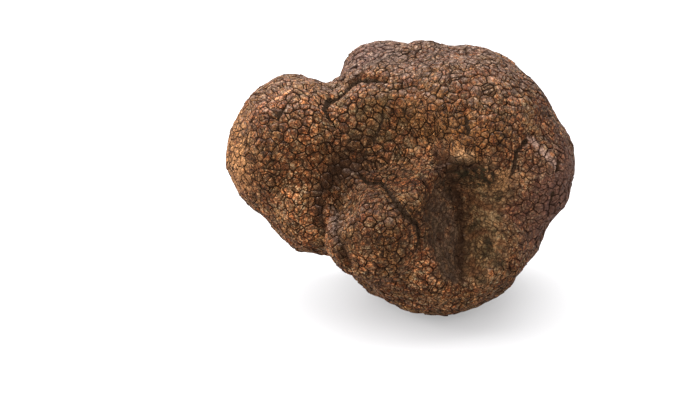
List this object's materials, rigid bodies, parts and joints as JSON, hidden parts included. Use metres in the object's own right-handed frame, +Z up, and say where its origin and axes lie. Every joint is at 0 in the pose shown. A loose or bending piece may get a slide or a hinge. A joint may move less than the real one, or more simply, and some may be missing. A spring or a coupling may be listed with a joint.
{
  "type": "black truffle",
  "caption": "Whole black truffle: knobbly lobed body with a warty skin and a deep pit at the front, resting on a small flat spot.",
  "frame": {"origin": "on the surface the truffle rests on, under the middle of its bounding box", "axes": "+Z up, +X along the longest extent towards the high dome, -Y towards the side with the deep pit and the round front lobe"},
  "size_m": [0.0812, 0.0651, 0.061],
  "materials": {
    "warty_skin": "dull warty skin, red-brown to ochre with a grey-mauve bloom on top and nearly black cracks between the warts"
  },
  "bodies": {
    "root": {"truffle": "warty_skin"}
  },
  "joints": []
}
